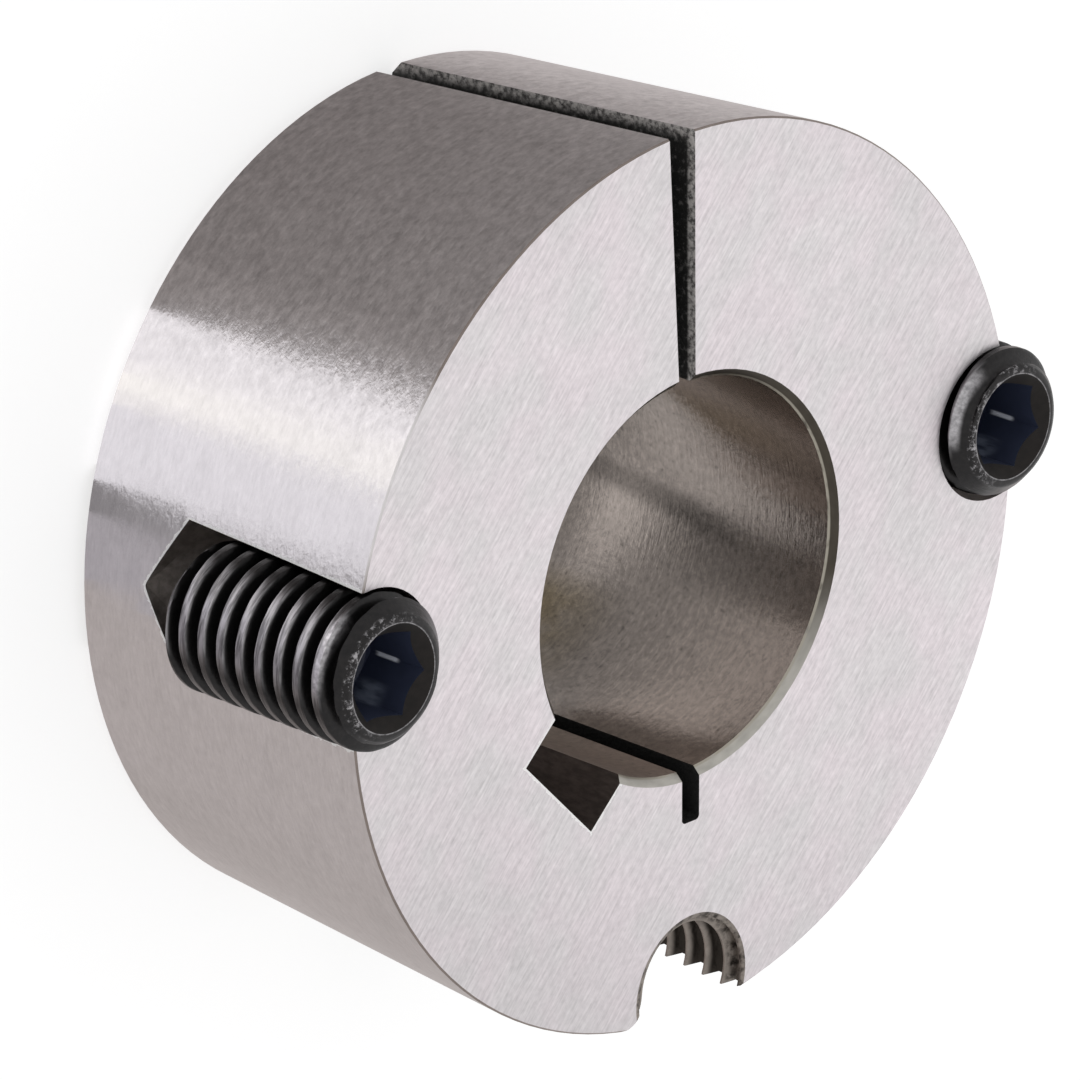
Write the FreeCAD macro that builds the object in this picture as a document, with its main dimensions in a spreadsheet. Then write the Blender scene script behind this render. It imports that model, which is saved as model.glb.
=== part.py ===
import FreeCAD, Part
import os
import Sketcher

# Taper lock bushing, standard size 1610: a split bush with an 8 degree taper that
# a wheel's hub closes onto its shaft, and the two grub screws that drive it home.
# Millimetres and degrees. The bore runs along Z, the small end lies on z = 0 and
# the large end faces up. +Y points to the split, +X to the right grub screw.

document = FreeCAD.newDocument("taper_lock_bushing")
sheet = document.addObject("Spreadsheet::Sheet", "sizes")

SIZES = [
    # The turned bush
    ("large_end_diameter", 57.0),
    ("bush_length", 25.4),
    ("taper_side_angle", 4.0),
    ("bore_diameter", 25.0),
    ("bore_chamfer", 0.5),
    ("large_rim_break", 0.12),
    ("small_rim_chamfer", 0.8),
    # The split, which opens outwards, and the saw cut opposite that lets it close.
    # All angles round the bush are measured from the split
    ("split_width", 1.4),
    ("split_side_angle", 1.4),
    ("relief_width", 1.5),
    ("relief_depth", 3.3),
    ("relief_angle", 178.2),
    ("relief_corner_radius", 0.3),
    # The keyway, its depth measured from the bore's wall at the middle of its floor
    ("keyway_width", 8.0),
    ("keyway_depth", 3.3),
    ("keyway_angle", 132.0),
    # The blind plain half-holes that the grub screws bear in, their axes just inside
    # the large end's rim
    ("plain_hole_inset", 1.5),
    ("plain_hole_clearance", 0.19),
    ("plain_hole_depth", 15.7),
    ("drill_point_angle", 112.0),
    ("left_hole_angle", 83.8),
    ("right_hole_angle", 86.2),
    # The threaded half-hole that one screw jacks the bush out with
    ("jack_hole_inset", 1.7),
    ("jack_hole_angle", 178.4),
    ("jack_mouth_margin", 0.04),
    ("jack_lip_radius", 1.8),
    ("thread_clearance", 0.15),
    # The Whitworth thread, three eighths of an inch at 16 turns to the inch
    ("thread_diameter", 9.525),
    ("thread_pitch", 1.5875),
    ("thread_depth", 1.0165),
    ("thread_flank_angle", 27.5),
    # The grub screws
    ("screw_length", 15.875),
    ("socket_end_diameter", 7.5),
    ("point_diameter", 6.2),
    ("socket_width", 5.1),
    ("socket_depth", 4.8),
    ("socket_mouth", 6.7),
    # How they lie: raised out of the large end, and shifted outwards and sideways
    # within the clearance of their half-holes
    ("left_screw_rise", 1.9),
    ("right_screw_rise", 1.55),
    ("screw_outward_shift", 0.12),
    ("left_screw_shift", 0.04),
    ("right_screw_shift", 0.13),
    ("left_screw_turn", 50.0),
    ("right_screw_turn", 40.0),
]

# Millimetres within which two places count as the same
NEAR = 0.001

for row, (alias, value) in enumerate(SIZES, start=1):
    sheet.set("A%d" % row, alias)
    sheet.set("B%d" % row, str(value))
    sheet.setAlias("B%d" % row, alias)
document.recompute()


def bound(text):
    """Turns names of sizes in an expression into references to the sheet."""
    return text.replace("<", "sizes.").replace(">", "")


def number(text):
    """The value of an expression on the sheet's sizes."""
    return float(sheet.evalExpression(bound(text)))


def add_sketch(body, name, plane, lift=None, turn=None):
    """A sketch on one of the body's own origin planes, lifted and turned by expressions."""
    sketch = body.newObject("Sketcher::SketchObject", name)
    origin_plane = [item for item in body.Origin.OriginFeatures if item.Role == plane][0]
    sketch.AttachmentSupport = [(origin_plane, "")]
    sketch.MapMode = "FlatFace"
    if lift:
        sketch.setExpression("AttachmentOffset.Base.z", bound(lift))
    if turn:
        about_z = FreeCAD.Rotation(FreeCAD.Vector(0, 0, 1), number(turn))
        sketch.AttachmentOffset = FreeCAD.Placement(FreeCAD.Vector(), about_z)
        sketch.setExpression("AttachmentOffset.Rotation.Angle", bound(turn))
    return sketch


def pin_point(sketch, geometry, position, name, across, along):
    """Ties a point of the sketch to two expressions, measured from the sketch's origin."""
    for kind, suffix, text in (("DistanceX", "_x", across), ("DistanceY", "_y", along)):
        index = sketch.addConstraint(Sketcher.Constraint(kind, -1, 1, geometry, position, number(text)))
        sketch.renameConstraint(index, name + suffix)
        sketch.setExpression("Constraints." + name + suffix, bound(text))


def add_outline(sketch, corners):
    """A closed outline of straight edges through corners given as expressions."""
    places = [FreeCAD.Vector(number(across), number(along), 0) for across, along in corners]
    first = sketch.GeometryCount
    for index, place in enumerate(places):
        sketch.addGeometry(Part.LineSegment(place, places[(index + 1) % len(places)]), False)
    for index in range(len(places)):
        following = first + (index + 1) % len(places)
        sketch.addConstraint(Sketcher.Constraint("Coincident", first + index, 2, following, 1))
    for index, (across, along) in enumerate(corners):
        pin_point(sketch, first + index, 1, "corner%d" % (first + index), across, along)


def add_circle(sketch, across, along, diameter):
    """A circle whose centre and diameter are expressions."""
    centre = FreeCAD.Vector(number(across), number(along), 0)
    radius = number(diameter) / 2
    index = sketch.addGeometry(Part.Circle(centre, FreeCAD.Vector(0, 0, 1), radius), False)
    pin_point(sketch, index, 3, "centre%d" % index, across, along)
    constraint = sketch.addConstraint(Sketcher.Constraint("Diameter", index, 2 * radius))
    sketch.renameConstraint(constraint, "width%d" % index)
    sketch.setExpression("Constraints.width%d" % index, bound(diameter))


def add_feature(body, kind, name, profile, **settings):
    """A feature of the body made from a sketch, checked to have changed the solid."""
    before = body.Shape.Volume if body.Tip else 0.0
    feature = body.newObject("PartDesign::" + kind, name)
    feature.Profile = profile
    if kind == "Hole":
        document.recompute()
    expressions = settings.pop("expressions", {})
    for setting, value in settings.items():
        setattr(feature, setting, value)
    for setting, text in expressions.items():
        feature.setExpression(setting, bound(text))
    document.recompute()
    if abs(body.Shape.Volume - before) < NEAR:
        raise RuntimeError(name + " changed nothing")
    return feature


def edges_at(shape, radius, height):
    """The names of the round edges at one radius and height about the Z axis."""
    names = []
    for index, edge in enumerate(shape.Edges, start=1):
        point = edge.firstVertex().Point
        away = abs(FreeCAD.Vector(point.x, point.y, 0).Length - radius) + abs(point.z - height)
        if edge.Curve.TypeId == "Part::GeomCircle" and away < NEAR:
            names.append("Edge%d" % index)
    return names


def add_fillet(body, name, edges, radius):
    """Rounds named edges of the body's last feature by a radius from the sheet."""
    base = body.Tip
    fillet = body.newObject("PartDesign::Fillet", name)
    fillet.Base = (base, edges)
    fillet.setExpression("Radius", bound(radius))
    document.recompute()


def add_chamfer(body, name, radius, height, width):
    """Breaks the round edge at one radius and height by a width from the sheet."""
    base = body.Tip
    chamfer = body.newObject("PartDesign::Chamfer", name)
    chamfer.Base = (base, edges_at(base.Shape, radius, height))
    chamfer.setExpression("Size", bound(width))
    document.recompute()


def add_turns(body, name, groove, length):
    """Repeats a groove at every whole turn of the thread over a length of its axis."""
    pattern = body.newObject("PartDesign::LinearPattern", name)
    pattern.Originals = [groove]
    pattern.Direction = (groove.Profile[0], ["V_Axis"])
    pattern.Mode = "Spacing"
    pattern.setExpression("Offset", bound("<thread_pitch>"))
    pattern.setExpression("Occurrences", bound("floor(%s / <thread_pitch> + %g)" % (length, NEAR)))
    body.Tip = pattern
    document.recompute()


# The bush is turned: outside taper, straight bore and both end faces.
bush = document.addObject("PartDesign::Body", "taper_bush_body")
bush.Label = "taper_bush_body"

section = add_sketch(bush, "bush_section", "XZ_Plane")
add_outline(
    section,
    [
        ("<bore_diameter> / 2", "0"),
        ("<large_end_diameter> / 2 - <bush_length> * tan(<taper_side_angle>)", "0"),
        ("<large_end_diameter> / 2", "<bush_length>"),
        ("<bore_diameter> / 2", "<bush_length>"),
    ],
)
add_feature(bush, "Revolution", "turned_bush", section, ReferenceAxis=(section, ["V_Axis"]), Angle=360.0)

large_radius = number("<large_end_diameter> / 2")
small_radius = number("<large_end_diameter> / 2 - <bush_length> * tan(<taper_side_angle>)")
bore_radius = number("<bore_diameter> / 2")
length = number("<bush_length>")
add_chamfer(bush, "large_rim_broken", large_radius, length, "<large_rim_break>")
add_chamfer(bush, "small_rim_chamfered", small_radius, 0.0, "<small_rim_chamfer>")
add_chamfer(bush, "bore_mouth_large", bore_radius, length, "<bore_chamfer>")
add_chamfer(bush, "bore_mouth_small", bore_radius, 0.0, "<bore_chamfer>")

# The split runs right through one wall, and has sprung open towards the rim.
split = add_sketch(bush, "split_outline", "XY_Plane")
inner = "<bore_diameter> / 4"
outer = "<large_end_diameter>"
half_width = "(<split_width> / 2 + ({0} - <bore_diameter> / 2) * tan(<split_side_angle>))"
add_outline(
    split,
    [
        (half_width.format(inner), inner),
        (half_width.format(outer), outer),
        ("-" + half_width.format(outer), outer),
        ("-" + half_width.format(inner), inner),
    ],
)
add_feature(bush, "Pocket", "split_cut", split, Type="ThroughAll", SideType="Symmetric")

# The relief saw cut in the bore opposite the split acts as the hinge when it closes.
relief_floor = "(<bore_diameter> / 2 + <relief_depth>)"
relief_turn = "(<relief_angle> - 180)"
relief = add_sketch(bush, "relief_outline", "XY_Plane", turn=relief_turn)
add_outline(
    relief,
    [
        ("-<relief_width> / 2", "-<bore_diameter> / 4"),
        ("-<relief_width> / 2", "-" + relief_floor),
        ("<relief_width> / 2", "-" + relief_floor),
        ("<relief_width> / 2", "-<bore_diameter> / 4"),
    ],
)
add_feature(bush, "Pocket", "relief_cut", relief, Type="ThroughAll", SideType="Symmetric")
towards_relief = FreeCAD.Vector(
    number("cos(90 + <relief_angle>)"), number("sin(90 + <relief_angle>)"), 0
)
relief_corners = [
    "Edge%d" % index
    for index, edge in enumerate(bush.Tip.Shape.Edges, start=1)
    if abs(edge.CenterOfMass.dot(towards_relief) - number(relief_floor)) < NEAR
    and abs(edge.CenterOfMass.z - length / 2) < NEAR
    and abs(edge.Length - length) < NEAR
]
add_fillet(bush, "relief_corners_rounded", relief_corners, "<relief_corner_radius>")

# The keyway is broached from end to end.
keyway_floor = "<bore_diameter> / 2 + <keyway_depth>"
keyway = add_sketch(bush, "keyway_outline", "XY_Plane", turn="90 + <keyway_angle>")
add_outline(
    keyway,
    [
        ("<bore_diameter> / 4", "-<keyway_width> / 2"),
        (keyway_floor, "-<keyway_width> / 2"),
        (keyway_floor, "<keyway_width> / 2"),
        ("<bore_diameter> / 4", "<keyway_width> / 2"),
    ],
)
add_feature(bush, "Pocket", "keyway_cut", keyway, Type="ThroughAll", SideType="Symmetric")

# The plain half-holes are drilled on the rim with the bush in its hub, so half of
# each is left in the bush, ending in the drill's point.
plain_hole_reach = "(<large_end_diameter> / 2 - <plain_hole_inset>)"
plain_hole_diameter = "<thread_diameter> + 2 * <plain_hole_clearance>"
left_hole_heading = "(90 + <left_hole_angle>)"
right_hole_heading = "(90 - <right_hole_angle>)"
plain_holes = add_sketch(bush, "plain_hole_centres", "XY_Plane", lift="<bush_length>")
for heading in (left_hole_heading, right_hole_heading):
    across = "%s * cos(%s)" % (plain_hole_reach, heading)
    along = "%s * sin(%s)" % (plain_hole_reach, heading)
    add_circle(plain_holes, across, along, plain_hole_diameter)
add_feature(
    bush,
    "Hole",
    "plain_half_holes",
    plain_holes,
    DepthType="Dimension",
    DrillPoint="Angled",
    DrillForDepth=False,
    expressions={
        "Diameter": plain_hole_diameter,
        "Depth": "<plain_hole_depth>",
        "DrillPointAngle": "<drill_point_angle>",
    },
)

# The threaded half-hole is drilled right through at the size that the tap leaves.
jack_reach = "(<large_end_diameter> / 2 - <jack_hole_inset>)"
jack_across = "%s * cos(90 + <jack_hole_angle>)" % jack_reach
jack_along = "%s * sin(90 + <jack_hole_angle>)" % jack_reach
tap_crest = "(<thread_diameter> / 2 - <thread_depth> + 2 * <thread_clearance>)"
tap_root = "(<thread_diameter> / 2 + <thread_clearance>)"
jack_hole = add_sketch(bush, "jack_hole_centre", "XY_Plane", lift="<bush_length>")
add_circle(jack_hole, jack_across, jack_along, "2 * " + tap_crest)
add_feature(
    bush,
    "Hole",
    "jack_half_hole",
    jack_hole,
    DepthType="ThroughAll",
    expressions={"Diameter": "2 * " + tap_crest},
)

# Its lip on the keyway's side is filed round.
lip = max(
    (edge.Length, "Edge%d" % index)
    for index, edge in enumerate(bush.Tip.Shape.Edges, start=1)
    if edge.Curve.TypeId == "Part::GeomBSplineCurve"
    and edge.CenterOfMass.x < 0
    and edge.CenterOfMass.y < -bore_radius
)
add_fillet(bush, "jack_lip_rounded", [lip[1]], "<jack_lip_radius>")

# Its mouth at the large end is countersunk.
jack_mouth_radius = "(<thread_diameter> / 2 + <jack_mouth_margin>)"
jack_mouth = add_sketch(bush, "jack_mouth_section", "YZ_Plane", lift=jack_across)
jack_mouth.setExpression("AttachmentOffset.Base.x", bound(jack_along))
add_outline(
    jack_mouth,
    [
        ("0", "<bush_length>"),
        ("0", "<bush_length> - " + jack_mouth_radius),
        (jack_mouth_radius, "<bush_length>"),
    ],
)
jack_mouth_line = (jack_mouth, ["V_Axis"])
add_feature(bush, "Groove", "jack_countersink", jack_mouth, ReferenceAxis=jack_mouth_line, Angle=360.0)

# Its thread is drawn as one groove of the tap's true section at each turn: a wide
# root, Whitworth flanks and a narrow crest left by the drill.
jack_groove = add_sketch(bush, "jack_groove", "YZ_Plane", lift=jack_across)
jack_groove.setExpression("AttachmentOffset.Base.x", bound(jack_along))
root_half = "(<thread_pitch> / 2 - <thread_depth> * tan(<thread_flank_angle>))"
crest_half = "(<thread_pitch> / 2 - <thread_clearance> * tan(<thread_flank_angle>))"
add_outline(
    jack_groove,
    [
        (tap_root, "<thread_pitch> / 2 - " + root_half),
        (tap_root, "<thread_pitch> / 2 + " + root_half),
        (tap_crest, "<thread_pitch> / 2 + " + crest_half),
        (tap_crest + " / 2", "<thread_pitch> / 2 + " + crest_half),
        (tap_crest + " / 2", "<thread_pitch> / 2 - " + crest_half),
        (tap_crest, "<thread_pitch> / 2 - " + crest_half),
    ],
)
jack_line = (jack_groove, ["V_Axis"])
jack_turn = add_feature(bush, "Groove", "jack_turn", jack_groove, ReferenceAxis=jack_line, Angle=360.0)
add_turns(bush, "jack_thread", jack_turn, "<bush_length>")


def add_grub_screw(name, heading, rise, shift, turn):
    """A socket grub screw, stood on its point in a plain half-hole of the bush."""
    screw = document.addObject("PartDesign::Body", name)
    screw.Label = name

    # Bar of the thread's full diameter, with a flat point and a chamfered socket end
    end_chamfer = "(<thread_diameter> - <socket_end_diameter>) / 2"
    blank = add_sketch(screw, name + "_blank", "XZ_Plane")
    add_outline(
        blank,
        [
            ("0", "0"),
            ("<point_diameter> / 2", "0"),
            ("<thread_diameter> / 2", "(<thread_diameter> - <point_diameter>) / 2"),
            ("<thread_diameter> / 2", "<screw_length> - " + end_chamfer),
            ("<socket_end_diameter> / 2", "<screw_length>"),
            ("0", "<screw_length>"),
        ],
    )
    add_feature(screw, "Revolution", name + "_bar", blank, ReferenceAxis=(blank, ["V_Axis"]), Angle=360.0)

    # Hexagon socket, pre-drilled to its own width across flats and countersunk
    corner_reach = "<socket_width> / 2 / cos(30)"
    hexagon = add_sketch(screw, name + "_hexagon", "XY_Plane", lift="<screw_length>")
    add_outline(
        hexagon,
        [
            ("%s * cos(%d)" % (corner_reach, angle), "%s * sin(%d)" % (corner_reach, angle))
            for angle in range(0, 360, 60)
        ],
    )
    add_feature(screw, "Pocket", name + "_socket", hexagon, expressions={"Length": "<socket_depth>"})
    drill = add_sketch(screw, name + "_drill", "XZ_Plane")
    floor = "<screw_length> - <socket_depth>"
    add_outline(
        drill,
        [
            ("0", floor),
            ("0", floor + " - <socket_width> / 2 / tan(<drill_point_angle> / 2)"),
            ("<socket_width> / 2", floor),
        ],
    )
    drill_line = (drill, ["V_Axis"])
    add_feature(screw, "Groove", name + "_drill_point", drill, ReferenceAxis=drill_line, Angle=360.0)
    mouth = add_sketch(screw, name + "_mouth", "XZ_Plane")
    add_outline(
        mouth,
        [
            ("0", "<screw_length>"),
            ("<socket_mouth> / 2", "<screw_length>"),
            ("0", "<screw_length> - <socket_mouth> / 2"),
        ],
    )
    mouth_line = (mouth, ["V_Axis"])
    add_feature(screw, "Groove", name + "_countersink", mouth, ReferenceAxis=mouth_line, Angle=360.0)

    reach = "(%s + <screw_outward_shift>)" % plain_hole_reach
    for setting, text in (
        ("Base.x", "%s * cos(%s)" % (reach, heading)),
        ("Base.y", "%s * sin(%s) + %s" % (reach, heading, shift)),
        ("Base.z", "<bush_length> + %s - <screw_length>" % rise),
        ("Rotation.Angle", turn),
    ):
        screw.setExpression("Placement." + setting, bound(text))
    document.recompute()
    return screw


left_screw = add_grub_screw(
    "grub_screw_left", left_hole_heading, "<left_screw_rise>", "-<left_screw_shift>", "<left_screw_turn>"
)
right_screw = add_grub_screw(
    "grub_screw_right", right_hole_heading, "<right_screw_rise>", "<right_screw_shift>", "<right_screw_turn>"
)

for thing in document.Objects:
    if "Invalid" in thing.State or "Error" in thing.State:
        raise RuntimeError(thing.Label + " did not rebuild")

os.makedirs("parts", exist_ok=True)
for piece in (bush, left_screw, right_screw):
    shape = piece.Shape
    if shape.isNull() or not shape.isValid() or len(shape.Solids) != 1:
        raise RuntimeError(piece.Label + " is not one valid solid")
    print(piece.Label, round(shape.Volume), shape.BoundBox)
    shape.exportStep("parts/%s.step" % piece.Label)
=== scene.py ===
import math

import bmesh
import bpy
from mathutils import Matrix, Vector


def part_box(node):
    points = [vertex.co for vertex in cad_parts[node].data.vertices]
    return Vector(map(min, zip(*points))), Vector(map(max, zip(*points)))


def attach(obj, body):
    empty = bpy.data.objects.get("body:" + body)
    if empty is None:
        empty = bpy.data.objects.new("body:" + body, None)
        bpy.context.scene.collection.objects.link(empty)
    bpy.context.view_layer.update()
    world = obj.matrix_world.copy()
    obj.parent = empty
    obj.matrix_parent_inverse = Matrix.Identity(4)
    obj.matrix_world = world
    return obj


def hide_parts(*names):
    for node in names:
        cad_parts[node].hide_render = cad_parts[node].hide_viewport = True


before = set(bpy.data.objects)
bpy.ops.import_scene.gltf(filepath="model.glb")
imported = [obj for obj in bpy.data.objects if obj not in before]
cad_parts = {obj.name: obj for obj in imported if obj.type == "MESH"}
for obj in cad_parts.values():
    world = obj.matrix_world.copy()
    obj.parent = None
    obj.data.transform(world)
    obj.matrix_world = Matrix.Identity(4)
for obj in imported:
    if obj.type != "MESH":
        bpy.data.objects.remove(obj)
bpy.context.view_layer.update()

scene = bpy.context.scene
MM = 0.001

# The bush is one turned piece of steel or iron with an 8 degree taper, a keyed bore and a
# split. The taper and the ends are ground, the split and the relief slot sawn, the keyway
# broached, two half-holes drilled and one tapped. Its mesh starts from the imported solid.
LARGE_RADIUS = 28.5 * MM
LENGTH = 25.4 * MM
TAPER_SLOPE = math.tan(math.radians(4))
BORE_RADIUS = 12.5 * MM
THREAD_PITCH = 1.5875 * MM
JACK_AXIS = Vector((-0.748, -26.79, 0)) * MM
JACK_REACH = 5.0 * MM
JACK_CREST = 4.05 * MM
JACK_THREAD_TURN = -0.58
SCREW_HOLE_REACH = 5.7 * MM
DRILLED_AXES = (Vector((-26.842, 2.916, 0)) * MM, Vector((26.941, 1.789, 0)) * MM)
DRILLED_RADIUS = 4.9525 * MM
DRILLED_SHOULDER = 9.7 * MM
DRILL_HALF_ANGLE = math.radians(56)
KEYWAY_ANGLE = math.radians(90 + 132)
KEYWAY_HALF_WIDTH = 4.0 * MM
KEYWAY_FLOOR = 15.8 * MM
SLOT_HALF_WIDTH = 1.7 * MM
SLOTS_FROM = -20 * MM
RIM_BREAK = 0.15 * MM
MOUTH_CHAMFER = 0.6 * MM
EDGE_EASING = 0.05 * MM
BURR_WIDTH = 0.17 * MM
# How close two places are that count as one, on flat and on round walls
FLUSH = 0.02 * MM
ROUND_FLUSH = 0.1 * MM
WELD = 0.002 * MM
SHARP_ANGLE = math.radians(30)
SMOOTH_ANGLE = math.radians(32)
FLAT_ANGLE = math.radians(0.3)
GRINDING_LAY = math.radians(-46.6)

GROUND_PINK = (0.76, 0.7, 0.725, 1)
GROUND_GREY = (0.72, 0.69, 0.7, 1)
TAPER_STEEL = (0.62, 0.6, 0.6, 1)
BORED_STEEL = (0.42, 0.367, 0.335, 1)
BORE_RUST = (0.26, 0.21, 0.145, 1)
# Painted dark reflection: the broken rim's dark colour
RIM_PAINTED_DARK = (0.26, 0.22, 0.2, 1)
# Painted highlight: the lighter side of the chamfers and the rim
EDGE_HIGHLIGHT = (0.8, 0.77, 0.77, 1)
# Painted highlight: the white that the burred edges are painted
BURR_HIGHLIGHT_WHITE = (0.95, 0.94, 0.93, 1)

bush_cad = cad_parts["taper_bush_body"]
left_cad_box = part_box("grub_screw_left")
right_cad_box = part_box("grub_screw_right")


class Finish:
    """A material being made up from nodes."""

    def __init__(self, name):
        self.material = bpy.data.materials.new(name)
        self.material.use_nodes = True
        self.tree = self.material.node_tree
        self.tree.nodes.clear()

    def node(self, kind, settings, sockets, output=0):
        """Adds a node, sets it up, fills or links its sockets, and gives one of its outputs."""
        node = self.tree.nodes.new("ShaderNode" + kind)
        for name, setting in settings.items():
            setattr(node, name, setting)
        for name, value in sockets.items():
            if isinstance(value, Amount):
                self.tree.links.new(value.socket, node.inputs[name])
            else:
                node.inputs[name].default_value = value
        return Amount(self, node.outputs[output])

    def place(self):
        """Where a point of the piece lies, in metres."""
        return self.node("TexCoord", {}, {}, "Object")

    def about(self, axis=(0, 0, 0)):
        """The three parts of a place measured from an upright axis, and its reach from it."""
        place = self.node("VectorMath", {"operation": "SUBTRACT"}, {0: self.place(), 1: axis})
        east, north, height = [self.node("SeparateXYZ", {}, {0: place}, part) for part in "XYZ"]
        return east, north, height, (east * east + north * north) ** 0.5

    def towards(self, angle):
        """How far a place lies from the bush's axis in one direction round it."""
        east, north, _, _ = self.about()
        return east * math.cos(angle) + north * math.sin(angle)

    def noise(self, scale, detail=2.0, roughness=0.5, lay=0.0):
        """Soft noise from 0 to 1, with so many grains to the metre along each axis."""
        turned = self.node(
            "Mapping", {"vector_type": "POINT"}, {"Vector": self.place(), "Rotation": (0, 0, lay)}
        )
        grains = self.node("Mapping", {"vector_type": "POINT"}, {"Vector": turned, "Scale": scale})
        sockets = {"Vector": grains, "Scale": 1.0, "Detail": detail, "Roughness": roughness}
        return self.node("TexNoise", {}, sockets, "Fac")

    def blend(self, share, first, second):
        """A colour that goes from the first to the second with the share."""
        return self.node("Mix", {"data_type": "RGBA"}, {0: share, 6: first, 7: second}, 2)

    def shaded(self, colour, share):
        """A colour made darker or lighter by a share of one."""
        tone = self.node("CombineColor", {}, {"Red": share, "Green": share, "Blue": share})
        settings = {"data_type": "RGBA", "blend_type": "MULTIPLY"}
        return self.node("Mix", settings, {0: 1.0, 6: colour, 7: tone}, 2)

    def relief(self, height, depth):
        """A normal bumped by a height from 0 to 1 and so many metres deep."""
        return self.node("Bump", {}, {"Height": height, "Distance": depth, "Strength": 1.0})

    def close(self, shader):
        """Closes the material with its shader."""
        output = self.tree.nodes.new("ShaderNodeOutputMaterial")
        self.tree.links.new(shader.socket, output.inputs["Surface"])
        return self.material

    def metal(self, sockets):
        """Closes the material with one principled surface."""
        return self.close(self.node("BsdfPrincipled", {}, sockets))


class Amount:
    """A number, colour or vector that varies over a surface. Sums of it add Math nodes."""

    def __init__(self, finish, socket):
        self.finish = finish
        self.socket = socket

    def math(self, operation, first, second=0.0):
        """One Math node, whose inputs are numbers or amounts."""
        return self.finish.node("Math", {"operation": operation}, {0: first, 1: second})

    def __add__(self, other):
        return self.math("ADD", self, other)

    def __radd__(self, other):
        return self.math("ADD", other, self)

    def __sub__(self, other):
        return self.math("SUBTRACT", self, other)

    def __rsub__(self, other):
        return self.math("SUBTRACT", other, self)

    def __mul__(self, other):
        return self.math("MULTIPLY", self, other)

    def __rmul__(self, other):
        return self.math("MULTIPLY", other, self)

    def __truediv__(self, other):
        return self.math("DIVIDE", self, other)

    def __rtruediv__(self, other):
        return self.math("DIVIDE", other, self)

    def __pow__(self, other):
        return self.math("POWER", self, other)

    def __abs__(self):
        return self.math("ABSOLUTE", self)

    def at_least(self, other):
        """The larger of this and the other."""
        return self.math("MAXIMUM", self, other)

    def above(self, low, high):
        """0 below the low value and 1 above the high one, with a smooth rise between."""
        settings = {"interpolation_type": "SMOOTHSTEP"}
        return self.finish.node("MapRange", settings, {"Value": self, "From Min": low, "From Max": high})

    def between(self, start, full, fading, gone):
        """0 up to the start, 1 from full to fading, and 0 again once gone."""
        return self.above(start, full) - self.above(fading, gone)


def burr_share(finish, outside):
    """1 on a ragged line along a burred edge, painted white as a highlight, by how far outside of the edge a
    place lies.
    """
    ragged = finish.noise((2600, 2600, 2600), 2.0) * 3 * BURR_WIDTH
    return 1 - (outside - ragged).above(-0.8 * BURR_WIDTH, -0.4 * BURR_WIDTH)


def keyway_burr_highlight(finish):
    """The burr on the end faces round the keyway, painted white as a highlight."""
    along = finish.towards(KEYWAY_ANGLE)
    across = abs(finish.towards(KEYWAY_ANGLE + math.pi / 2))
    outside = (across - KEYWAY_HALF_WIDTH).at_least(along - KEYWAY_FLOOR)
    return burr_share(finish, outside) * along.above(10 * MM, 10.5 * MM)


def drilled_burr_highlight(finish):
    """The burr on the taper round both drilled holes and their pointed ends, painted white as a highlight.
    """
    shares = []
    for axis in DRILLED_AXES:
        _, _, height, reach = finish.about(axis)
        beyond_side = reach - DRILLED_RADIUS
        beyond_point = beyond_side + (DRILLED_SHOULDER - height) * math.tan(DRILL_HALF_ANGLE)
        outside = beyond_side.at_least(beyond_point * math.cos(DRILL_HALF_ANGLE))
        shares.append(burr_share(finish, outside))
    return shares[0].at_least(shares[1])


def ground_end_finish():
    """Flat grinding: fine straight lines, all one way, with faint pink and grey clouds."""
    finish = Finish("ground_end")
    lines = finish.noise((420, 4300, 400), 3.0, 0.6, GRINDING_LAY)
    hairs = finish.noise((800, 7500, 400), 2.0, 0.5, GRINDING_LAY)
    lumps = finish.noise((2400, 2400, 2400), 2.0)
    clouds = finish.noise((230, 230, 230), 2.0)
    shade = finish.noise((70, 70, 70), 1.0)
    tone = 0.4 + lines * 0.5 + hairs * 0.3 + lumps * 0.3 + shade * 0.1
    # Painted shade: the end is made a little darker past the keyway
    tone = tone * (1 - finish.towards(math.radians(240)).above(4 * MM, 30 * MM) * 0.13)
    ground = finish.shaded(finish.blend(clouds.above(0.3, 0.7), GROUND_PINK, GROUND_GREY), tone)
    # Painted highlight: a white line along the burred edges round the keyway
    burr_highlight = keyway_burr_highlight(finish)
    return finish.metal(
        {
            "Base Color": finish.blend(burr_highlight, ground, BURR_HIGHLIGHT_WHITE),
            "Metallic": 1 - burr_highlight * 0.9,
            "Roughness": 0.34 + lines * 0.12,
            "Normal": finish.relief(lines + hairs * 0.5, 0.012 * MM),
        }
    )


def ground_taper_finish():
    """Cylindrical grinding: short marks that run round the taper."""
    finish = Finish("ground_taper")
    marks = finish.noise((900, 900, 4400), 3.0, 0.65)
    flecks = finish.noise((1500, 1500, 2000), 3.0, 0.65)
    clouds = finish.noise((240, 240, 600), 2.0)
    # The flecks stand out more beside the split
    flecked = finish.towards(math.radians(108)).above(20 * MM, 25 * MM)
    tone = 0.61 + marks * 0.34 + flecks * 0.2 + clouds * 0.12 + flecked * (flecks - 0.5) * 0.7
    # Painted highlight: a white line along the burred edges round the drilled holes
    burr_highlight = drilled_burr_highlight(finish)
    return finish.metal(
        {
            "Base Color": finish.blend(burr_highlight, finish.shaded(TAPER_STEEL, tone), BURR_HIGHLIGHT_WHITE),
            "Metallic": 1 - burr_highlight * 0.9,
            "Roughness": 0.3 + marks * 0.08,
            "Anisotropic": 0.9,
            "Anisotropic Rotation": 0.25,
            "Normal": finish.relief(marks + flecks * 0.8, 0.036 * MM),
        }
    )


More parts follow.
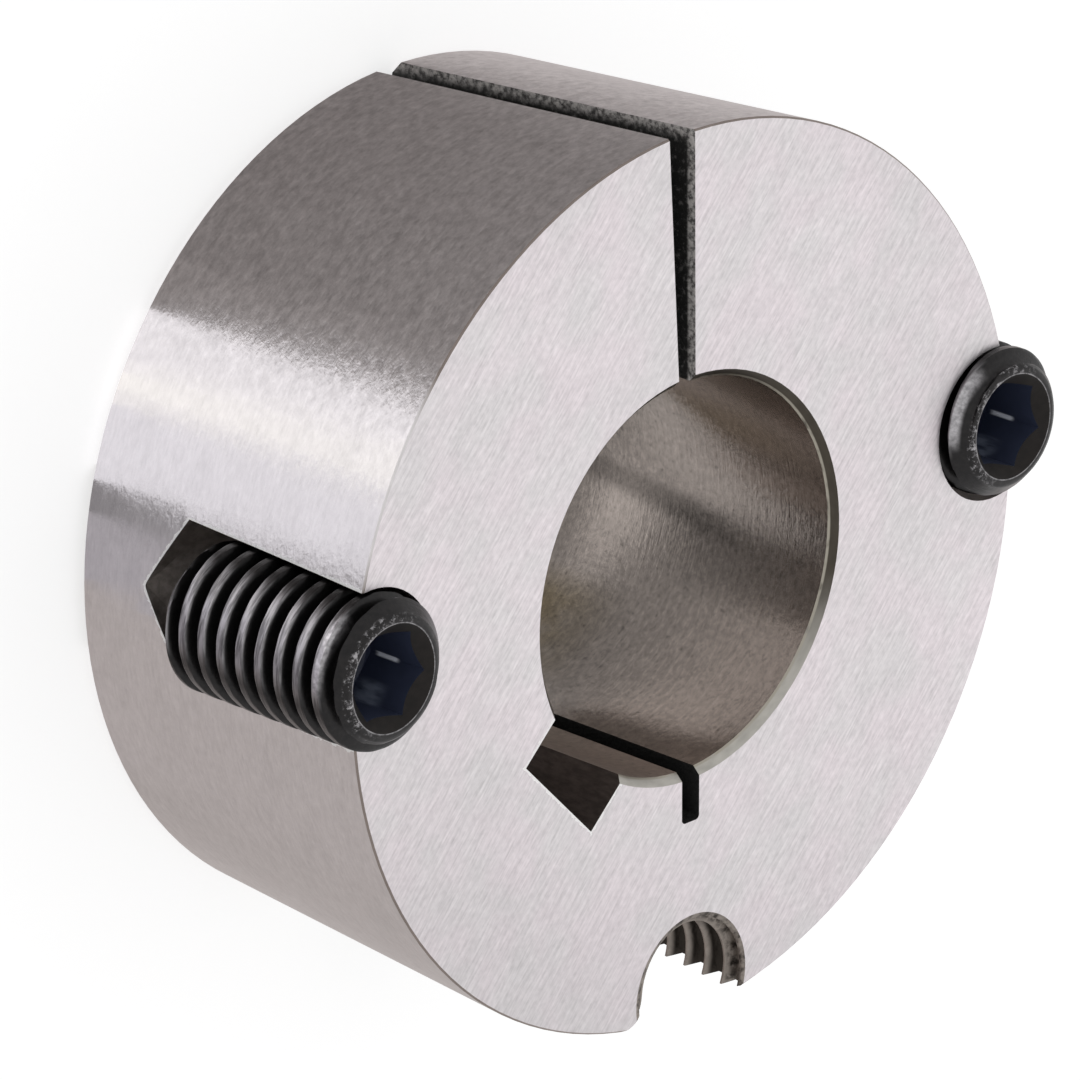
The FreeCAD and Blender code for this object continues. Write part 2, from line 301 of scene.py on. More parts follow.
def bored_finish():
    """Boring: tool marks round the bore, small pits, a stain of rust and a streak of painted shade."""
    finish = Finish("bored_wall")
    marks = finish.noise((420, 420, 4200), 3.0, 0.65)
    grain = finish.noise((2300, 2300, 2900), 3.0, 0.6)
    pits = finish.noise((2100, 2100, 3200), 2.0).above(0.6, 0.75)
    # Rust has begun deep in the bore, and the wall beside the keyway is duller
    _, _, height, _ = finish.about()
    rusty = finish.towards(math.radians(301)).above(11.6 * MM, 12.4 * MM)
    rusty = rusty * (1 - height.above(5 * MM, 12 * MM))
    rusty = rusty * finish.noise((260, 260, 260), 3.0).above(0.15, 0.5)
    dull = finish.towards(math.radians(252)).above(11.8 * MM, 12.3 * MM)
    # Painted shade: a dark streak runs down the wall, leaning a little
    off_streak = abs(finish.towards(math.radians(79.5)) + height * 0.11 - 1.05 * MM)
    painted_streak = 1 - off_streak.above(0.3 * MM, 1.3 * MM)
    painted_streak = painted_streak * finish.towards(math.radians(349.5)).above(0, 5 * MM)
    painted_streak = painted_streak * (1 - height.above(14 * MM, 20 * MM))
    tone = (0.32 + marks * 0.45 + grain * 0.95 - pits * 0.3 + dull * 0.3) * (1 - painted_streak * 0.42)
    return finish.metal(
        {
            "Base Color": finish.shaded(finish.blend(rusty, BORED_STEEL, BORE_RUST), tone),
            "Metallic": 1.0,
            "Roughness": 0.17 + grain * 0.1 + dull * 0.13,
            "Anisotropic": 0.5,
            "Anisotropic Rotation": 0.25,
            "Normal": finish.relief(marks + grain, 0.014 * MM),
        }
    )


def mouth_finish():
    """The chamfer round the bore's ends: painted shade makes it dark on one side and lighter on the other,
    and it is rubbed on its edge.
    """
    finish = Finish("bore_mouth")
    _, north, _, reach = finish.about()
    marks = finish.noise((900, 900, 3000), 2.0)
    # Painted shade: dark towards +Y, light towards -Y
    painted_shading = finish.blend(north.above(-10 * MM, -3 * MM), (0.5, 0.48, 0.44, 1), (0.08, 0.069, 0.056, 1))
    painted_shading = finish.shaded(painted_shading, 0.75 + marks * 0.5)
    brightening = (1 - reach.above(BORE_RADIUS + 0.08 * MM, BORE_RADIUS + 0.14 * MM)) * marks.above(0.2, 0.5)
    return finish.metal(
        {
            "Base Color": finish.blend(brightening, painted_shading, (0.42, 0.39, 0.33, 1)),
            "Metallic": 1.0,
            "Roughness": 0.36,
            "Normal": finish.relief(marks, 0.006 * MM),
        }
    )


def chamfer_finish(name, colour, highlight_side):
    """A turned chamfer, with a painted highlight that makes it lighter on one side of the bush."""
    finish = Finish(name)
    marks = finish.noise((700, 700, 5000), 2.0)
    # Painted highlight on the chamfer's outer edge, on one side of the bush
    lightened = finish.towards(highlight_side).above(27.5 * MM, 28.3 * MM)
    return finish.metal(
        {
            "Base Color": finish.shaded(finish.blend(lightened, colour, EDGE_HIGHLIGHT), 0.8 + marks * 0.4),
            "Metallic": 1.0,
            "Roughness": 0.34,
            "Normal": finish.relief(marks, 0.006 * MM),
        }
    )


def sawn_finish():
    """A rough sawn wall: painted shade makes it black inside, and it is torn and painted lighter along its
    outer edges.
    """
    finish = Finish("sawn_wall")
    _, north, height, reach = finish.about()
    torn = finish.noise((2600, 2600, 2600), 4.0, 0.65)
    inward = LARGE_RADIUS - (LENGTH - height) * TAPER_SLOPE - reach
    lip = height.above(LENGTH - 0.75 * MM, LENGTH - 0.5 * MM)
    lip = lip.at_least(1 - inward.above(0.2 * MM, 0.9 * MM))
    # Painted light on the lips near the outside and the end face, over torn flecks
    light = torn.above(0.52, 0.7) * 0.2 + lip * (0.15 + torn.above(0.35, 0.6) * 0.8)
    # Painted shade: the relief slot's own walls stay black up to the end face
    light = light * north.above(0, 1 * MM)
    return finish.metal(
        {
            # Painted shade: the near-black of the slits' insides
            "Base Color": finish.blend(light, (0.018, 0.018, 0.017, 1), (0.66, 0.63, 0.61, 1)),
            "Metallic": 0.4,
            "Roughness": 0.55 + torn * 0.2,
            "Normal": finish.relief(torn, 0.15 * MM),
        }
    )


def cut_finish(name, dark, light, roughness, scale, depth):
    """A cut wall that nothing has finished since, with the marks of its tool."""
    finish = Finish(name)
    marks = finish.noise(scale, 4.0, 0.65)
    return finish.metal(
        {
            "Base Color": finish.blend(marks.above(0.3, 0.72), dark, light),
            "Metallic": 0.9,
            "Roughness": roughness + marks * 0.15,
            "Normal": finish.relief(marks, depth),
        }
    )


def tapped_finish():
    """The half-hole's thread: painted shade makes its grooves dark, and its ridges are rubbed bright."""
    finish = Finish("tapped_wall")
    _, _, height, reach = finish.about(JACK_AXIS)
    torn = finish.noise((1500, 1500, 1500), 3.0, 0.6)
    ridge = 1 - reach.above(JACK_CREST + 0.02 * MM, JACK_CREST + 0.45 * MM)
    mouth = height.above(LENGTH - 1.3 * MM, LENGTH - 1.0 * MM)
    bright = (ridge * (0.35 + torn * 0.8)).at_least(mouth * torn.above(0.3, 0.6) * 0.8)
    return finish.metal(
        {
            # Painted shade: the near-black of the thread's grooves
            "Base Color": finish.blend(bright, (0.035, 0.029, 0.024, 1), (0.38, 0.335, 0.3, 1)),
            "Metallic": 0.9,
            "Roughness": 0.34 + torn * 0.2,
            "Normal": finish.relief(torn, 0.09 * MM),
        }
    )


BUSH_FINISHES = {
    "end": ground_end_finish(),
    "taper": ground_taper_finish(),
    "bore": bored_finish(),
    "mouth": mouth_finish(),
    "chamfer": chamfer_finish("turned_chamfer", (0.66, 0.63, 0.63, 1), 0.0),
    # The broken rim: a painted dark reflection, with a painted highlight on the side at 151 degrees
    "rim": chamfer_finish("broken_rim", RIM_PAINTED_DARK, math.radians(151)),
    "sawn": sawn_finish(),
    "broached": cut_finish(
        "broached_wall", dark=(0.09, 0.073, 0.066, 1), light=(0.16, 0.13, 0.118, 1),
        roughness=0.42, scale=(2600, 2600, 900), depth=0.012 * MM,
    ),
    "drilled": cut_finish(
        "drilled_wall", dark=(0.2, 0.175, 0.16, 1), light=(0.31, 0.275, 0.255, 1),
        roughness=0.4, scale=(1500, 1500, 2600), depth=0.012 * MM,
    ),
    "tapped": tapped_finish(),
}
REGIONS = list(BUSH_FINISHES)


def across_from(place, axis):
    """How far a place lies from an upright axis."""
    return math.hypot(place.x - axis.x, place.y - axis.y)


def region_of(face):
    """Which cut of the bush a face belongs to, by where it lies and faces."""
    middle = face.calc_center_median()
    reach = math.hypot(middle.x, middle.y)
    outward = (face.normal.x * middle.x + face.normal.y * middle.y) / reach
    taper_radius = LARGE_RADIUS - (LENGTH - middle.z) * TAPER_SLOPE
    keyway_across = abs(middle.x * math.sin(KEYWAY_ANGLE) - middle.y * math.cos(KEYWAY_ANGLE))
    keyway_along = middle.x * math.cos(KEYWAY_ANGLE) + middle.y * math.sin(KEYWAY_ANGLE)
    at_an_end = min(middle.z, LENGTH - middle.z) < FLUSH
    upright = abs(face.normal.z) < 0.1
    screws = [(box[0] + box[1]) / 2 for box in (left_cad_box, right_cad_box)]
    if at_an_end and abs(face.normal.z) > 0.99:
        return "end"
    if outward > 0.98 and abs(reach - taper_radius) < ROUND_FLUSH:
        return "taper"
    if outward < -0.98 and abs(reach - BORE_RADIUS) < ROUND_FLUSH:
        return "bore"
    if outward > 0.5 and face.normal.z > 0.5 and LENGTH - middle.z < RIM_BREAK:
        return "rim"
    if outward < -0.5 and reach < BORE_RADIUS + MOUTH_CHAMFER and not upright:
        return "mouth"
    if abs(middle.x) < SLOT_HALF_WIDTH and upright and middle.y > SLOTS_FROM:
        return "sawn"
    if across_from(middle, JACK_AXIS) < JACK_REACH:
        return "tapped"
    if min(across_from(middle, screw) for screw in screws) < SCREW_HOLE_REACH:
        return "drilled"
    if keyway_across < KEYWAY_HALF_WIDTH + FLUSH and keyway_along > BORE_RADIUS * 0.9 and upright:
        return "broached"
    return "chamfer"


def turn_thread(mesh):
    """Leans the half-hole's ring grooves into the right-hand helix that a tap cuts."""
    for vertex in mesh.verts:
        from_end = min(vertex.co.z, LENGTH - vertex.co.z)
        if across_from(vertex.co, JACK_AXIS) > JACK_REACH or from_end < FLUSH:
            continue
        # The lean is measured from the middle of the half-hole's wall, towards +Y
        turned = math.atan2(vertex.co.x - JACK_AXIS.x, vertex.co.y - JACK_AXIS.y) / math.tau
        share = min(1.0, from_end / THREAD_PITCH)
        vertex.co.z -= THREAD_PITCH * (turned + JACK_THREAD_TURN) * share


def apply_modifiers(piece):
    """Puts what the modifiers make into the piece's own mesh."""
    bpy.context.view_layer.update()
    evaluated = piece.evaluated_get(bpy.context.evaluated_depsgraph_get())
    finished = bpy.data.meshes.new_from_object(evaluated)
    piece.modifiers.clear()
    piece.data = finished


def add_piece(name, mesh, finishes):
    """An object at the origin from a bmesh, with its faces smooth up to sharp edges."""
    data = bpy.data.meshes.new(name)
    mesh.to_mesh(data)
    mesh.free()
    for material in finishes:
        data.materials.append(material)
    data.polygons.foreach_set("use_smooth", [True] * len(data.polygons))
    data.set_sharp_from_angle(angle=SMOOTH_ANGLE)
    piece = bpy.data.objects.new(name, data)
    scene.collection.objects.link(piece)
    weighted = piece.modifiers.new("even_shading", "WEIGHTED_NORMAL")
    weighted.keep_sharp = True
    weighted.weight = 100
    apply_modifiers(piece)
    return piece


def sharp_edges(mesh):
    """The bush's sharp edges, without the thread's own."""
    edges = []
    for edge in mesh.edges:
        parted = {REGIONS[face.material_index] for face in edge.link_faces}
        if len(edge.link_faces) == 2 and edge.calc_face_angle() > SHARP_ANGLE and parted != {"tapped"}:
            edges.append(edge)
    return edges


def make_bush():
    """The bush's own mesh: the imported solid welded, its thread leaned, its edges eased."""
    mesh = bmesh.new()
    mesh.from_mesh(bush_cad.data)
    bmesh.ops.remove_doubles(mesh, verts=mesh.verts, dist=WELD)
    turn_thread(mesh)
    bmesh.ops.dissolve_limit(
        mesh, angle_limit=FLAT_ANGLE, verts=mesh.verts, edges=mesh.edges, delimit={"NORMAL"}
    )
    for face in mesh.faces:
        face.material_index = REGIONS.index(region_of(face))
    bmesh.ops.bevel(
        mesh, geom=sharp_edges(mesh), offset=EDGE_EASING, affect="EDGES", segments=2, profile=0.5,
        material=-1, clamp_overlap=True,
    )
    return add_piece("taper_bush", mesh, BUSH_FINISHES.values())


bush = make_bush()
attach(bush, "bush")
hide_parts("taper_bush_body")

# The two grub screws are steel socket screws, 3/8 inch across 16 threads to the inch and
# 5/8 inch long: rolled thread, flat point, broached hexagon socket, black oxide worn bright
# round the socket's mouth, with painted highlights on the crests and the socket end.
# Each stands in its own drilled half-hole.
SCREW_TURNS = 10
SCREW_THREAD_DEPTH = 1.0165 * MM
SCREW_POINT_RADIUS = 3.1 * MM
SCREW_END_RADIUS = 3.75 * MM
SCREW_MOUTH_RADIUS = 3.35 * MM
SOCKET_FLAT_RADIUS = 2.55 * MM
SOCKET_DEPTH = 4.8 * MM
SOCKET_SIDE = math.tau / 6
COUNTERSINK_DEPTH = 0.5 * MM
DRILL_POINT_DEPTH = 1.7 * MM
DRILL_POINT_SHARE = 0.98
SCREW_SEGMENTS = 96
ROWS_PER_TURN = 20
END_ROUNDING = 0.2 * MM
# The share of a turn from the middle of a crest to where the root begins, and the flank's
CREST_TO_ROOT = 0.46
FLANK = 0.31
# The side of the screws that gets painted highlights, which the camera sees
LIT_SIDE = math.radians(150)
# Distances that count as none, on a screw and on the blank that it is shaped from
HAIR = 0.01 * MM
THIN_HAIR = 0.001 * MM
# The order of a screw's finishes
OXIDE, SOCKET, COUNTERSINK = range(3)


def thread_share(phase):
    """How much of the thread's depth stands at a share of one turn, rounded as rolled."""
    away = abs(phase - math.floor(phase) - 0.5)
    fall = min(1.0, max(0.0, (CREST_TO_ROOT - away) / FLANK))
    return (1 - math.cos(math.pi * fall)) / 2


def facing(east, north, reach, angle):
    """1 on the side of a screw that lies at an angle, 0 a quarter turn away from it."""
    return (east * math.cos(angle) + north * math.sin(angle)) / reach


def black_oxide_finish(name, axis, radius, length, highlight_height):
    """Black oxide over steel, worn bright round the socket's mouth, with painted highlights
    on the crests, painted glints round the socket end and a painted highlight patch, on the side that the
    camera sees."""
    finish = Finish(name)
    east, north, height, reach = finish.about(axis)
    brightening = facing(east, north, reach, LIT_SIDE)
    scuffs = finish.noise((450, 450, 4500), 3.0, 0.6)
    flecks = finish.noise((2600, 2600, 2600), 2.0, 0.6)
    specks = finish.noise((2400, 2400, 2400), 5.0, 0.75)
    # Painted highlight on the crests, on the side that the camera sees
    crest_highlight = reach.above(radius - 0.16 * MM, radius - 0.02 * MM) * brightening.above(0.7, 0.98)
    crest_highlight = crest_highlight * (0.15 + scuffs.above(0.35, 0.65) * 0.4)
    flat = height.above(length - 0.3 * MM, length - 0.12 * MM)
    # Painted glints on the flat end, mostly on that side
    ring_glints = flat * specks.above(0.5, 0.66) * brightening.above(-0.3, 0.7) * 0.7
    mouth = flat * (1 - reach.above(SCREW_MOUTH_RADIUS + 0.04 * MM, SCREW_MOUTH_RADIUS + 0.1 * MM))
    mouth = mouth * (0.1 + specks.above(0.35, 0.6) * 0.35)
    # Painted highlight: a patch round the screw at one height, on that side
    off_highlight_patch = height - highlight_height
    patch_highlight = off_highlight_patch.between(-0.4 * MM, -0.12 * MM, 0.12 * MM, 0.4 * MM)
    patch_highlight = patch_highlight * brightening.above(0.78, 0.96) * (0.45 + flecks.above(0.3, 0.7) * 0.45)
    lightened = crest_highlight.at_least(ring_glints).at_least(mouth).at_least(patch_highlight)
    dark = finish.blend(flecks, (0.01, 0.01, 0.011, 1), (0.032, 0.029, 0.029, 1))
    return finish.metal(
        {
            "Base Color": finish.blend(lightened, dark, (0.62, 0.6, 0.62, 1)),
            "Metallic": 0.9,
            "Roughness": 0.27 + scuffs * 0.14,
            "Coat Weight": 0.25,
            "Coat Roughness": 0.25,
            "Normal": finish.relief(scuffs + flecks * 0.5, 0.03 * MM),
        }
    )


def socket_finish(name, axis, length, turn):
    """The broached hexagon: blue-black oxide, with a painted highlight down one corner and a painted
    grey-blue sheen low on the walls at another side.
    """
    finish = Finish(name)
    east, north, height, reach = finish.about(axis)
    from_mouth = height - length
    grime = finish.noise((900, 900, 900), 2.0)
    streaks = finish.noise((2500, 2500, 600), 2.0)
    # Painted highlight: a bright line down one corner of the hexagon
    corner_glint = facing(east, north, reach, turn + math.radians(300)).above(0.998, 0.9998)
    corner_glint = corner_glint * from_mouth.between(-4.5 * MM, -4.0 * MM, -2.8 * MM, -2.3 * MM)
    # Painted highlight: a soft grey-blue sheen low on the walls at another side
    painted_sheen = facing(east, north, reach, turn + math.radians(250)).above(0.94, 0.995)
    painted_sheen = painted_sheen * streaks.above(0.3, 0.65) * from_mouth.between(-5.0 * MM, -4.0 * MM, -3.2 * MM, -2.0 * MM)
    navy = finish.blend(grime, (0.018, 0.024, 0.05, 1), (0.035, 0.045, 0.085, 1))
    lit = finish.blend(painted_sheen * 0.42, navy, (0.4, 0.46, 0.58, 1))
    return finish.metal(
        {
            "Base Color": finish.blend(corner_glint, lit, (0.9, 0.93, 1.0, 1)),
            "Metallic": 0.0,
            "Roughness": 0.55,
        }
    )


def countersink_finish():
    """The socket's countersunk mouth: brown-black oxide, hardly rubbed."""
    finish = Finish("countersink")
    flecks = finish.noise((1800, 1800, 1800), 2.0)
    return finish.metal(
        {
            "Base Color": finish.blend(flecks, (0.008, 0.007, 0.0065, 1), (0.026, 0.021, 0.019, 1)),
            "Metallic": 0.6,
            "Roughness": 0.5,
        }
    )


COUNTERSINK_FINISH = countersink_finish()


def screw_outline(length, radius):
    """The screw's half section from the point's middle up and into the drilled floor."""
    rows = SCREW_TURNS * ROWS_PER_TURN
    floor = length - SOCKET_DEPTH
    outline = [(0.0, 0.0), (SCREW_POINT_RADIUS - END_ROUNDING, 0.0)]
    outline += [(radius, length * row / rows) for row in range(1, rows)]
    outline += [(SCREW_END_RADIUS - END_ROUNDING, length), (SCREW_MOUTH_RADIUS, length)]
    outline += [(SOCKET_FLAT_RADIUS, length - COUNTERSINK_DEPTH), (SOCKET_FLAT_RADIUS, floor)]
    outline += [(SOCKET_FLAT_RADIUS * DRILL_POINT_SHARE, floor), (0.0, floor - DRILL_POINT_DEPTH)]
    return outline


def shape_vertex(vertex, length, radius, turn, thread_turn):
    """Moves a point of the turned blank onto the thread or onto the socket's flats."""
    reach = math.hypot(vertex.co.x, vertex.co.y)
    if reach < HAIR:
        return
    angle = math.atan2(vertex.co.y, vertex.co.x)
    height = vertex.co.z
    new_reach = reach
    if abs(reach - radius) < THIN_HAIR:
        phase = (height - length) / THREAD_PITCH - (angle - thread_turn) / math.tau + 0.5
        threaded = radius - SCREW_THREAD_DEPTH * (1 - thread_share(phase))
        point_limit = SCREW_POINT_RADIUS + height
        end_limit = SCREW_END_RADIUS + (length - height)
        new_reach = min(threaded, point_limit, end_limit)
    if abs(reach - SOCKET_FLAT_RADIUS) < THIN_HAIR:
        from_flat = (angle - turn) % SOCKET_SIDE - SOCKET_SIDE / 2
        new_reach = SOCKET_FLAT_RADIUS / math.cos(from_flat)
        # The countersink leans by 45 degrees, so it meets the corners higher than the flats
        if height > length - SOCKET_DEPTH + HAIR:
            vertex.co.z = length - (SCREW_MOUTH_RADIUS - new_reach)
    vertex.co.x *= new_reach / reach
    vertex.co.y *= new_reach / reach


def make_screw(name, node, body, turn, thread_turn, highlight_depth):
    """One grub screw, in the place and size of its node."""
    low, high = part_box(node)
    axis = Vector(((low.x + high.x) / 2, (low.y + high.y) / 2, low.z))
    length = high.z - low.z
    radius = (high.x - low.x) / 2

    mesh = bmesh.new()
    points = [mesh.verts.new((reach, 0, height)) for reach, height in screw_outline(length, radius)]
    edges = [mesh.edges.new(pair) for pair in zip(points, points[1:])]
    bmesh.ops.spin(
        mesh, geom=points + edges, cent=(0, 0, 0), axis=(0, 0, 1), angle=math.tau,
        steps=SCREW_SEGMENTS, use_merge=True, use_duplicate=False,
    )
    bmesh.ops.remove_doubles(mesh, verts=mesh.verts, dist=THIN_HAIR / 10)
    bmesh.ops.recalc_face_normals(mesh, faces=mesh.faces)
    for face in mesh.faces:
        middle = face.calc_center_median()
        reach = math.hypot(middle.x, middle.y)
        if reach < SCREW_MOUTH_RADIUS and middle.z > length - SOCKET_DEPTH - DRILL_POINT_DEPTH:
            face.material_index = COUNTERSINK if reach > SOCKET_FLAT_RADIUS + HAIR else SOCKET
    # The blank is turned first so that its rows of points meet the socket's corners
    bmesh.ops.rotate(mesh, verts=mesh.verts, cent=(0, 0, 0), matrix=Matrix.Rotation(turn, 3, "Z"))
    for vertex in mesh.verts:
        shape_vertex(vertex, length, radius, turn, thread_turn)
    bmesh.ops.translate(mesh, verts=mesh.verts, vec=axis)
    finishes = {
        OXIDE: black_oxide_finish(name + "_oxide", axis, radius, length, length - highlight_depth),
        SOCKET: socket_finish(name + "_socket", axis, length, turn),
        COUNTERSINK: COUNTERSINK_FINISH,
    }
    screw = add_piece(name, mesh, finishes.values())
    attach(screw, body)
    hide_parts(node)


make_screw(
    "left_grub_screw", "grub_screw_left", "left_screw",
    turn=math.radians(50), thread_turn=math.radians(210), highlight_depth=1.7 * MM,
)
make_screw(
    "right_grub_screw", "grub_screw_right", "right_screw",
    turn=math.radians(40), thread_turn=math.radians(5), highlight_depth=0.85 * MM,
)

# The camera looks down at the large end from beyond the left screw, tipped so that the
# split is uppermost.
CAMERA_AZIMUTH = math.radians(149.238)
CAMERA_ELEVATION = math.radians(40.651)
CAMERA_ROLL = math.radians(109.712)
CAMERA_DISTANCE = 636.8 * MM
CAMERA_TARGET = Vector((-12.748, 6.59, 25.4)) * MM
SENSOR_WIDTH = 36.0
LENS = 360.149


def direction(azimuth, elevation):
    """The unit vector at an azimuth and an elevation."""
    level = math.cos(elevation)
    return Vector((level * math.cos(azimuth), level * math.sin(azimuth), math.sin(elevation)))


def add_camera():
    """The camera, placed by its angles about the point that it looks at."""
    data = bpy.data.cameras.new("camera")
    data.sensor_width = SENSOR_WIDTH
    data.lens = LENS
    camera = bpy.data.objects.new("camera", data)
    scene.collection.objects.link(camera)
    backwards = direction(CAMERA_AZIMUTH, CAMERA_ELEVATION)
    level = backwards.to_track_quat("Z", "Y").to_matrix()
    rolled = level @ Matrix.Rotation(CAMERA_ROLL, 3, "Z")
    camera.matrix_world = rolled.to_4x4()
    camera.location = CAMERA_TARGET + backwards * CAMERA_DISTANCE
    scene.camera = camera


add_camera()

# The floor is a plain pale board, the light a soft sky with one large soft lamp above.
# Cards round the foot of the bush and in its bore are seen only in its bright metal.
FLOOR_RADIUS = 2.0
FLOOR_WHITE = (0.5, 0.5, 0.5, 1)
FLOOR_LIFT = 0.66
SKY = 0.76
CARD_LIFT = 0.2 * MM
CARD_REACH = 150.0 * MM
CARD_STEPS = 8
RIM_REACH = 22.4 * MM
# The chamfered foot lies a little inside the taper's own line
FOOT_INSET = 0.5 * MM
FOOT_RADIUS = LARGE_RADIUS - LENGTH * TAPER_SLOPE - FOOT_INSET
# Where each card's first side meets the foot and where it is mirrored by the rim, in
# degrees round the bush, with the light and the tint of the card from there onwards
CARDS = (
    (50, 50, 0.74, (1, 0.92, 0.91, 1)),
    (80, 80, 0.68, (1, 0.92, 0.91, 1)),
    (89, 89, 0.255, (1, 0.88, 0.86, 1)),
    (120, 120, 0.285, (1, 0.89, 0.87, 1)),
    (133, 132.6, 0.36, (1, 0.9, 0.88, 1)),
    (140.3, 139.4, 1.58, (0.99, 0.97, 1, 1)),
    (147.2, 145.8, 1.7, (1, 0.98, 0.99, 1)),
    (149.0, 147.6, 1.84, (1, 0.985, 0.96, 1)),
    (151.4, 150.0, 1.66, (1, 0.98, 0.98, 1)),
    (153.2, 151.8, 1.45, (0.96, 0.945, 1, 1)),
    (163, 163, 0.36, (1, 0.95, 1, 1)),
    (167, 167, 0.66, (0.98, 0.93, 1, 1)),
    (176, 176, 0.7, (1, 0.91, 0.89, 1)),
    (203, 203, 0.64, (1, 0.91, 0.88, 1)),
    (245, 245, 0, (1, 1, 1, 1)),
)
BORE_GLOW = 0.36
BORE_CARD_RADIUS = BORE_RADIUS - 0.1 * MM
# Middle, half length and half width of each soft patch on the bore's card in
# millimetres, with how much brighter or darker it is than the card
BORE_PATCHES = (
    (0.0, -8.5, 14.0, 4.6, 0.32),
    (-8.0, 0.0, 8.0, 5.5, -0.18),
    (-6.0, -3.1, 8.5, 1.5, -0.16),
    (7.0, 0.5, 6.5, 4.0, -0.09),
    (2.3, -2.9, 3.6, 2.1, 0.78),
)
# The near wall's card: its sides round the bore, its heights, its tint and its light
NEAR_CARD_FROM = math.radians(12)
NEAR_CARD_TO = math.radians(140)
NEAR_CARD_LOW = 0.4 * MM
NEAR_CARD_HIGH = 9.0 * MM
NEAR_CARD_RADIUS = BORE_RADIUS - 0.15 * MM
NEAR_CARD_STEPS = 16
NEAR_CARD_TINT = (1, 0.95, 0.92, 1)
NEAR_CARD_GLOW = 0.62


def glow(name, colour, strength):
    """A plain material that gives off light of one strength."""
    finish = Finish(name)
    return finish.close(finish.node("Emission", {}, {"Color": colour, "Strength": strength}))


def floor_finish():
    """White to the camera and in reflections, but with the bush's shadow on it."""
    finish = Finish("pale_board")
    names = ("Is Camera Ray", "Is Glossy Ray", "Is Transmission Ray")
    looking, mirrored_ray, passing = [finish.node("LightPath", {}, {}, name) for name in names]
    seen = looking.at_least(mirrored_ray).at_least(passing)
    board = finish.node("BsdfDiffuse", {}, {"Color": FLOOR_WHITE})
    lift = finish.node("Emission", {}, {"Color": (1, 1, 1, 1), "Strength": seen * FLOOR_LIFT})
    return finish.close(finish.node("AddShader", {}, {0: board, 1: lift}))


def bore_glow():
    """The bore card's light: even, with soft brighter and darker patches."""
    finish = Finish("bore_card")
    east, north, _, _ = finish.about()
    light = BORE_GLOW
    for across, along, half_length, half_width, change in BORE_PATCHES:
        from_middle = (east - across * MM) / (half_length * MM)
        from_line = (north - along * MM) / (half_width * MM)
        away = from_middle * from_middle + from_line * from_line
        light = light + (1 - away.above(0.1, 1.0)) * change
    tone = finish.node("CombineColor", {}, {"Red": light, "Green": light, "Blue": light})
    return finish.close(finish.node("Emission", {}, {"Color": tone, "Strength": 1.0}))


def add_stage(name, mesh, material):
    """An object that is part of the surroundings, not of the bush."""
    data = bpy.data.meshes.new(name)
    mesh.to_mesh(data)
    mesh.free()
    data.materials.append(material)
    thing = bpy.data.objects.new(name, data)
    scene.collection.objects.link(thing)
    return thing


def show_in_metal_only(card):
    """Hides a card from everything but reflections in glossy metal."""
    card.visible_camera = False
    card.visible_diffuse = False
    card.visible_shadow = False
    card.visible_transmission = False


def add_floor():
    """The board that the bush stands on."""
    mesh = bmesh.new()
    bmesh.ops.create_circle(mesh, cap_ends=True, segments=96, radius=FLOOR_RADIUS)
    add_stage("floor", mesh, floor_finish())


def mirrored(angle, reach):
    """The floor point that the taper at an angle mirrors, so far out from the foot."""
    heading = 2 * angle - CAMERA_AZIMUTH
    return Vector(
        (
            FOOT_RADIUS * math.cos(angle) + reach * math.cos(heading),
            FOOT_RADIUS * math.sin(angle) + reach * math.sin(heading),
            CARD_LIFT,
        )
    )


def card_side(foot, rim):
    """The near and the far end of a card's side, straight through its two mirrored places."""
    near = mirrored(math.radians(foot), 0.0)
    under_rim = mirrored(math.radians(rim), RIM_REACH)
    return near, near + (under_rim - near).normalized() * CARD_REACH


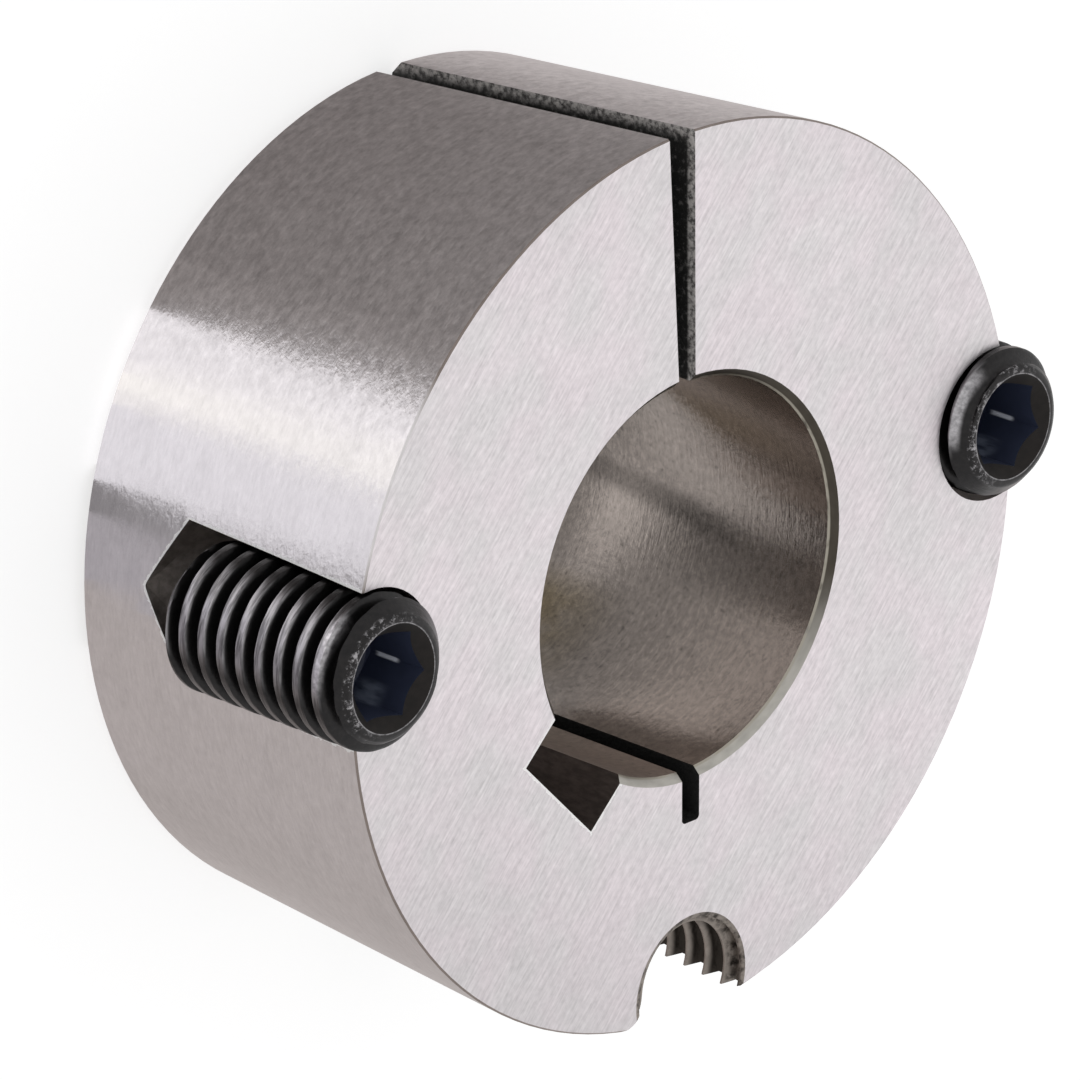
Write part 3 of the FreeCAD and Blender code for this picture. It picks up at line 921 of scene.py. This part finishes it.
def add_cards():
    """The flat cards on the floor round the foot, side by side. Each spans its arc in
    steps, so that its inner edge follows the foot."""
    for number, (card, following_card) in enumerate(zip(CARDS, CARDS[1:])):
        first_foot, first_rim, strength, tint = card
        last_foot, last_rim = following_card[:2]
        mesh = bmesh.new()
        sides = []
        for step in range(CARD_STEPS + 1):
            foot = first_foot + (last_foot - first_foot) * step / CARD_STEPS
            rim = first_rim + (last_rim - first_rim) * step / CARD_STEPS
            sides.append([mesh.verts.new(place) for place in card_side(foot, rim)])
        for side, following in zip(sides, sides[1:]):
            mesh.faces.new((side[0], side[1], following[1], following[0]))
        name = "card_%d" % number
        show_in_metal_only(add_stage(name, mesh, glow(name, tint, strength)))


def add_bore_card():
    """A round card on the floor inside the bore."""
    mesh = bmesh.new()
    bmesh.ops.create_circle(mesh, cap_ends=True, segments=48, radius=BORE_CARD_RADIUS)
    bmesh.ops.translate(mesh, verts=mesh.verts, vec=(0, 0, CARD_LIFT))
    show_in_metal_only(add_stage("bore_card", mesh, bore_glow()))


def add_near_card():
    """A curved card low on the near wall, which the far wall mirrors at its mouth."""
    mesh = bmesh.new()
    side = [mesh.verts.new((NEAR_CARD_RADIUS, 0, height)) for height in (NEAR_CARD_LOW, NEAR_CARD_HIGH)]
    edge = mesh.edges.new(side)
    start = Matrix.Rotation(NEAR_CARD_FROM, 3, "Z")
    bmesh.ops.rotate(mesh, verts=side, cent=(0, 0, 0), matrix=start)
    bmesh.ops.spin(
        mesh, geom=side + [edge], cent=(0, 0, 0), axis=(0, 0, 1), angle=NEAR_CARD_TO - NEAR_CARD_FROM,
        steps=NEAR_CARD_STEPS, use_merge=False, use_duplicate=False,
    )
    show_in_metal_only(add_stage("near_card", mesh, glow("near_card", NEAR_CARD_TINT, NEAR_CARD_GLOW)))


def add_lamp(name, azimuth, elevation, distance, width, power):
    """A square soft lamp that faces the bush."""
    data = bpy.data.lights.new(name, "AREA")
    data.size = width
    data.energy = power
    lamp = bpy.data.objects.new(name, data)
    backwards = direction(azimuth, elevation)
    lamp.matrix_world = backwards.to_track_quat("Z", "Y").to_matrix().to_4x4()
    lamp.location = backwards * distance
    scene.collection.objects.link(lamp)


def add_sky():
    """A soft even sky."""
    world = bpy.data.worlds.new("soft_sky")
    world.use_nodes = True
    sky = world.node_tree.nodes["Background"]
    sky.inputs["Color"].default_value = (1, 1, 1, 1)
    sky.inputs["Strength"].default_value = SKY
    scene.world = world


add_floor()
add_cards()
add_bore_card()
add_near_card()
add_lamp(
    "face_lamp", azimuth=math.radians(329), elevation=math.radians(48), distance=0.9, width=0.8, power=0.5
)
add_sky()
scene.view_settings.view_transform = "Standard"
